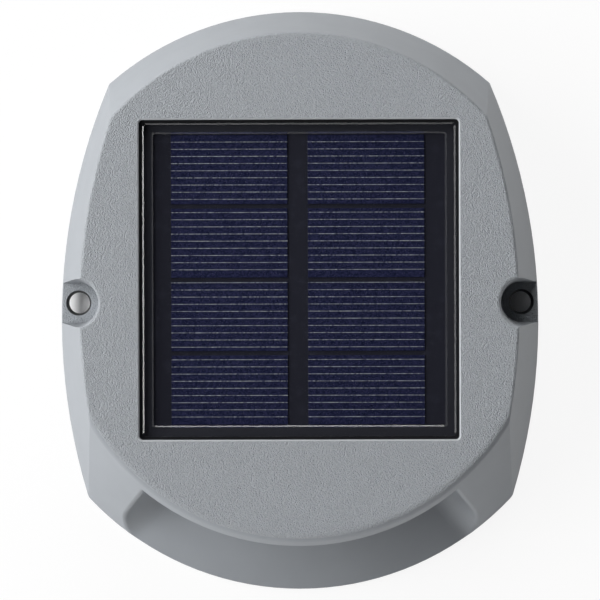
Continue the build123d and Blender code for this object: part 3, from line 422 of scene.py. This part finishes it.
def fluted_lens():
    """A section of strip and flange carried round the housing's axis, with rounded edges on the strip.

    The section's back goes in and out with the turn, by a parabola in each flute. Beyond the ends of the
    strip its front falls back to the flange."""
    flutes = np.arange(-STRIP_TURN, STRIP_TURN, FLUTE / FLUTE_COLUMNS)
    ends = STRIP_TURN - LENS_EDGE / LENS_FRONT * (1 - np.sin(QUARTER_TURN))
    strip = np.unique(np.concatenate([flutes, ends, -ends]).round(7))
    beyond = np.linspace(STRIP_TURN, FLANGE_TURN, FLANGE_COLUMNS)
    turn = np.concatenate([-beyond[::-1], strip, beyond])
    over = np.clip((np.abs(turn) - STRIP_TURN) * LENS_FRONT + LENS_EDGE, 0, LENS_EDGE)
    front = LENS_FRONT - LENS_EDGE + np.sqrt(LENS_EDGE**2 - over**2)
    on_strip = np.arange(len(turn)) - len(beyond)
    front = np.where((on_strip >= 0) & (on_strip < len(strip)), front, FLANGE_FRONT)
    from_crest = np.abs(turn / FLUTE % 1 - 0.5) * 2
    back = FLANGE_BACK + FLUTE_DEPTH * from_crest**2
    flange = np.full(len(turn), FLANGE_FRONT)
    rounded = np.maximum(front[:, None] - LENS_EDGE * (1 - np.sin(QUARTER_TURN)), FLANGE_FRONT)
    radius = [back, flange, flange, *rounded.T, *rounded.T[::-1], flange, flange, back]
    radius = np.stack(radius, -1)
    low, high = LENS_LOW[2] + FLANGE_STEP, LENS_HIGH[2] - FLANGE_STEP
    climb = LENS_EDGE * (1 - np.cos(QUARTER_TURN))
    heights = [[LENS_LOW[2]] * 2, [low], low + climb, high - climb[::-1], [high], [LENS_HIGH[2]] * 2]
    z = np.broadcast_to(np.concatenate(heights), radius.shape)
    x, y = radius * np.sin(turn)[:, None], -radius * np.cos(turn)[:, None]
    return skin("fluted_lens", np.stack([x, y, z], -1)[:, ::-1])


def weld(piece, crease):
    """Merges points that fall together, and shades smoothly across edges that turn less than a crease."""
    mesh = bmesh.new()
    mesh.from_mesh(piece.data)
    bmesh.ops.remove_doubles(mesh, verts=mesh.verts, dist=TOGETHER)
    mesh.to_mesh(piece.data)
    mesh.free()
    piece.data.polygons.foreach_set("use_smooth", np.ones(len(piece.data.polygons), dtype=bool))
    piece.data.set_sharp_from_angle(angle=np.radians(crease))


lens = fluted_lens()
weld(lens, LENS_CREASE)
lens.data.materials.append(clear_polycarbonate("fluted_polycarbonate"))
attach(lens, "body")
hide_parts("light_lens")
dress(epdm, "lens_gasket")

# Control board. Green glass-fibre laminate on four standoffs, with its chip, coil, capacitors, wire
# headers and the push switch soldered on.
epoxy = moulded("chip_epoxy", "#161618", "#1f1f22", 0.2 * MM, 0.01 * MM, 0.5, 0.65)
ferrite = moulded("ferrite", "#252527", "#303033", 0.3 * MM, 0.02 * MM, 0.55, 0.75, 1.9)
nylon = moulded("natural_nylon", "#ddd8ca", "#ebe7dc", 0.6 * MM, 0.01 * MM, 0.4, 0.55, 1.53)
black_abs = moulded("black_abs", "#151517", "#202023", 0.4 * MM, 0.015 * MM, 0.4, 0.55)
dress(solder_mask("green_solder_mask", "#1f5a34", "#17472a"), "circuit_board")
dress(epoxy, "control_chip")
dress(ferrite, "power_inductor")
dress(bright_metal("aluminium_can", "#b4b7ba", "#d0d2d4", 0.25, 0.4), "capacitors")
dress(nylon, "wire_headers")
dress(black_abs, "switch_body", "switch_plunger")
dress(steel, "board_screws")

# Battery. One rechargeable cell in a blue shrink sleeve, in an open holder with a nickel-plated spring
# strip at each end.
sleeve = moulded("blue_shrink_sleeve", "#28648f", "#3478a8", 3 * MM, 0.02 * MM, 0.24, 0.34)
nickel = bright_metal("nickel_plate", "#bdb59a", "#d6cfb4", 0.2, 0.35)
dress(sleeve, "battery_cell")
dress(black_abs, "battery_holder")
dress(nickel, "positive_contact", "negative_contact")
dress(steel, "holder_screws")

# Leads. Stranded copper in soft PVC, red for plus and black for minus, each soldered at one end and
# crimped into its header at the other.
red_pvc = moulded("red_pvc", "#a31c19", "#bd2823", 0.7 * MM, 0.01 * MM, 0.35, 0.5)
black_pvc = moulded("black_pvc", "#121213", "#1c1c1e", 0.7 * MM, 0.01 * MM, 0.35, 0.5)
dress(red_pvc, "solar_lead_plus", "led_lead_plus", "battery_lead_plus")
dress(black_pvc, "solar_lead_minus", "led_lead_minus", "battery_lead_minus")

# Base plate. A darker ABS moulding with an eroded underside, let into the housing's rim on a rubber cord
# and held by eight stainless pan-head screws with a cross recess.
SCREW_LOW, SCREW_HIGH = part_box("base_screws")
SCREW_APART = np.radians(5)  # less than the turn between any two screws
SCREW_CREASE = 40  # degrees
HEAD_RADIUS = 2.8 * MM
HEAD_HEIGHT = 1.6 * MM
HEAD_EDGE = 0.72 * MM
HEAD_START = 0.05 * MM  # radius of the first ring
HEAD_RINGS = 22
SHANK_RADIUS = 1.5 * MM
SHANK_START = 0.05 * MM  # from the head's underside to the thread
TIP_RADIUS = 0.5 * MM
TIP_HEIGHT = 0.3 * MM
THREAD_PITCH = 1.1 * MM
THREAD_DEPTH = 0.28 * MM
THREAD_RINGS = 44
RING_POINTS = 64
CROSS_ARM = 0.42 * MM  # half the width of the cross
CROSS_REACH = 1.65 * MM
CROSS_DEPTH = 1.0 * MM
CROSS_SIDE = 0.15 * MM  # run of its sloping sides
CROSS_END = 0.5 * MM  # run of its sloping ends


def seats(name):
    """Where each screw of a ring stands: the middles of bunches of vertices round the upright axis."""
    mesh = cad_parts[name].data
    place = np.empty(len(mesh.vertices) * 3)
    mesh.vertices.foreach_get("co", place)
    place = place.reshape(-1, 3)[:, :2]
    turn = np.arctan2(place[:, 1], place[:, 0])
    order = np.argsort(turn)
    breaks = np.flatnonzero(np.diff(turn[order]) > SCREW_APART) + 1
    return [(bunch.min(0) + bunch.max(0)) / 2 for bunch in np.split(place[order], breaks)]


def cross_screw(x, y):
    """A pan-head screw, head down: rings out over the head, up its side, in under it and up the thread.

    The cross is pressed in where a point lies within an arm's half width of either axis. The thread is a
    triangle wave that climbs one pitch in each turn."""
    low, high = SCREW_LOW[2], SCREW_HIGH[2]
    seat = low + HEAD_HEIGHT
    face = np.linspace(HEAD_START, HEAD_RADIUS - HEAD_EDGE, HEAD_RINGS)
    edge_r = HEAD_RADIUS - HEAD_EDGE * (1 - np.sin(QUARTER_TURN))
    edge_z = low + HEAD_EDGE * (1 - np.cos(QUARTER_TURN))
    shank = np.full(THREAD_RINGS, SHANK_RADIUS)
    climb = np.linspace(seat + SHANK_START, high - TIP_HEIGHT, THREAD_RINGS)
    radius = np.concatenate([face, edge_r, [HEAD_RADIUS, SHANK_RADIUS], shank, [TIP_RADIUS]])
    height = np.concatenate([np.full(HEAD_RINGS, low), edge_z, [seat, seat], climb, [high]])
    turn = np.arange(RING_POINTS) * 2 * np.pi / RING_POINTS
    r = np.repeat(radius[:, None], RING_POINTS, 1)
    z = np.repeat(height[:, None], RING_POINTS, 1)
    thread = slice(-THREAD_RINGS - 1, -1)
    phase = (z[thread] / THREAD_PITCH - turn / (2 * np.pi)) % 1
    r[thread] -= THREAD_DEPTH * np.abs(2 * phase - 1)
    out_x, out_y = r * np.cos(turn), r * np.sin(turn)
    from_arm = np.minimum(np.abs(out_x), np.abs(out_y))
    sides = np.clip((CROSS_ARM - from_arm) / CROSS_SIDE, 0, 1)
    ends = np.clip((CROSS_REACH - r) / CROSS_END, 0, 1)
    z[:HEAD_RINGS] += CROSS_DEPTH * (sides * ends)[:HEAD_RINGS]
    return skin("screw", np.stack([out_x + x, out_y + y, z], -1))


screws = join("base_plate_screws", [cross_screw(x, y) for x, y in seats("base_screws")])
weld(screws, SCREW_CREASE)
screws.data.materials.append(steel)
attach(screws, "body")
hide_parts("base_screws")
dark_abs = moulded("eroded_dark_abs", "#6a6d71", "#74777b", 0.5 * MM, 0.04 * MM, 0.5, 0.66, 1.53)
dress(dark_abs, "base_plate")
dress(epdm, "base_seal")

# Push button. A dark ABS cap in a place of the plate that is dished for a finger, with a rubber ring in its
# groove. Pressed, it lifts the switch's plunger.
satin_abs = moulded("satin_button_abs", "#383b40", "#43464c", 0.45 * MM, 0.02 * MM, 0.4, 0.55, 1.53)
dress(satin_abs, "power_button")
dress(epdm, "button_seal")

# Stand, light and camera. The photograph looks straight down under a dark ceiling, with a large soft lamp
# on the left and weaker ones behind and low in front. These are kept out of the polish, as by crossed
# filters, and four narrow strips draw the bright lines along the cover's edges.
CAMERA_HEIGHT = 0.622
CAMERA_ASIDE = 4 * MM  # to the right of what it is aimed at
CAMERA_ROLL = np.radians(-0.16)
CAMERA_AIM = np.array([0.0, 0.13]) * MM
FRAME_WIDTH = 153.1 * MM  # across the picture on the stand
FLOOR = 8.0  # metres across
FLOOR_DROP = 0.02 * MM  # below the part's foot
FLOOR_GLOW = 0.9  # the rest is lit by the lamps, and keeps the shadow
FOOTPRINT = np.array([59.5, 72.0]) * MM
GLOW_STARTS = -56.0 * MM  # under the left pocket
GLOW_FULL = -60.4 * MM
SKY_LEVEL = 0.35
SKY_BAND = (0.02, 0.35)  # the sines of the heights between which the sky goes dark
BACKDROP_BAND = (0.06, 0.14)  # and between which the white backdrop ends
LAMPS = {  # turned from -X towards +Y, raised, distance, width, height, level on a face square to it
    "key": (9, 34, 1.0, 0.85, 0.85, 1.52),
    "rear": (94, 30, 1.0, 0.6, 0.6, 0.46),
    "front": (-90, 11, 1.0, 1.2, 0.4, 0.4),
}
STRIPS = {  # the same columns
    "left_strip": (4, 35, 1.0, 0.35, 0.06, 0.045),
    "rear_strip": (90, 35, 1.0, 0.35, 0.06, 0.009),
    "right_strip": (180, 35.5, 1.0, 0.35, 0.06, 0.015),
    "front_strip": (-90, 6.5, 1.0, 0.35, 0.06, 0.029),
}


def looked_at(tree):
    """1 on rays that carry the picture: straight from the camera, mirrored, or through something clear."""
    path = add(tree, "LightPath").outputs
    seen = path["Is Camera Ray"]
    for way in ("Is Glossy Ray", "Is Transmission Ray"):
        seen = add(tree, "Math", {0: seen, 1: path[way]}, operation="MAXIMUM").outputs[0]
    return seen


def pale_floor():
    """A white paper sheet. Looked at, it is nearly self-lit, so it stays white and keeps a light shadow.
    Within the footprint's ellipse it is plain paper, but the glow reaches in under the left pocket."""
    made, tree, place = new_material("white_paper")
    scale = (1 / FOOTPRINT[0], 1 / FOOTPRINT[1], 0)
    around = add(tree, "VectorMath", {0: place, 1: scale}, operation="MULTIPLY").outputs[0]
    away = add(tree, "VectorMath", {0: around}, operation="LENGTH").outputs["Value"]
    clear = add(tree, "Math", {0: away, 1: 1.0}, operation="GREATER_THAN").outputs[0]
    aside = add(tree, "SeparateXYZ", {0: place}).outputs["X"]
    reach = add(tree, "MapRange", {0: aside, 1: GLOW_STARTS, 2: GLOW_FULL}).outputs[0]
    clear = add(tree, "Math", {0: clear, 1: reach}, operation="MAXIMUM").outputs[0]
    share = add(tree, "Math", {0: looked_at(tree), 1: clear}, operation="MULTIPLY").outputs[0]
    share = add(tree, "Math", {0: share, 1: FLOOR_GLOW}, operation="MULTIPLY").outputs[0]
    paper = add(tree, "BsdfDiffuse", {"Color": linear("#f4f4f4")}).outputs[0]
    glow = add(tree, "Emission", {"Color": linear("#ffffff"), "Strength": 1.0}).outputs[0]
    return show(made, add(tree, "MixShader", {0: share, 1: paper, 2: glow}).outputs[0])


sheet = bpy.data.meshes.new("floor")
span = np.array([[-1, -1], [1, -1], [1, 1], [-1, 1]]) * FLOOR / 2
sheet.from_pydata(np.column_stack([span, np.full(4, -FLOOR_DROP)]).tolist(), [], [(0, 1, 2, 3)])
floor = bpy.data.objects.new("floor", sheet)
bpy.context.collection.objects.link(floor)
sheet.materials.append(pale_floor())

for name, (turn, rise, distance, width, height, level) in (LAMPS | STRIPS).items():
    lamp = bpy.data.lights.new(name, "AREA")
    lamp.shape = "RECTANGLE"
    lamp.size, lamp.size_y = width, height
    lamp.energy = level * np.pi**2 * distance**2  # so that a white face square to it shows that level
    stand = bpy.data.objects.new(name, lamp)
    stand.visible_diffuse = name in LAMPS
    stand.visible_glossy = stand.visible_transmission = name in STRIPS
    turn, rise = np.radians(turn), np.radians(rise)
    way = np.array([-np.cos(rise) * np.cos(turn), np.cos(rise) * np.sin(turn), np.sin(rise)])
    stand.location = distance * way
    stand.rotation_euler = (-stand.location).to_track_quat("-Z", "Y").to_euler()
    bpy.context.collection.objects.link(stand)

world = bpy.data.worlds.new("studio")
bpy.context.scene.world = world
world.use_nodes = True
world.node_tree.nodes.clear()
sky = world.node_tree
rise = add(sky, "SeparateXYZ", {0: add(sky, "TexCoord").outputs["Generated"]}).outputs["Z"]
glow = {0: rise, 1: SKY_BAND[0], 2: SKY_BAND[1], 3: SKY_LEVEL, 4: 0.0}
glow = add(sky, "MapRange", glow, interpolation_type="SMOOTHSTEP").outputs[0]
backdrop = {0: rise, 1: BACKDROP_BAND[0], 2: BACKDROP_BAND[1], 3: 1.0, 4: 0.0}
backdrop = add(sky, "MapRange", backdrop, interpolation_type="SMOOTHSTEP").outputs[0]
backdrop = add(sky, "Math", {0: backdrop, 1: looked_at(sky)}, operation="MULTIPLY").outputs[0]
glow = add(sky, "Math", {0: glow, 1: backdrop}, operation="MAXIMUM").outputs[0]
background = add(sky, "Background", {"Color": linear("#ffffff"), "Strength": glow}).outputs[0]
add(sky, "OutputWorld", {"Surface": background})

camera = bpy.data.objects.new("camera", bpy.data.cameras.new("camera"))
camera.data.lens = camera.data.sensor_width * CAMERA_HEIGHT / FRAME_WIDTH
camera.location = (CAMERA_AIM[0] + CAMERA_ASIDE, CAMERA_AIM[1], CAMERA_HEIGHT)
camera.rotation_euler = (0, np.arctan2(CAMERA_ASIDE, CAMERA_HEIGHT), CAMERA_ROLL)
bpy.context.collection.objects.link(camera)
bpy.context.scene.camera = camera
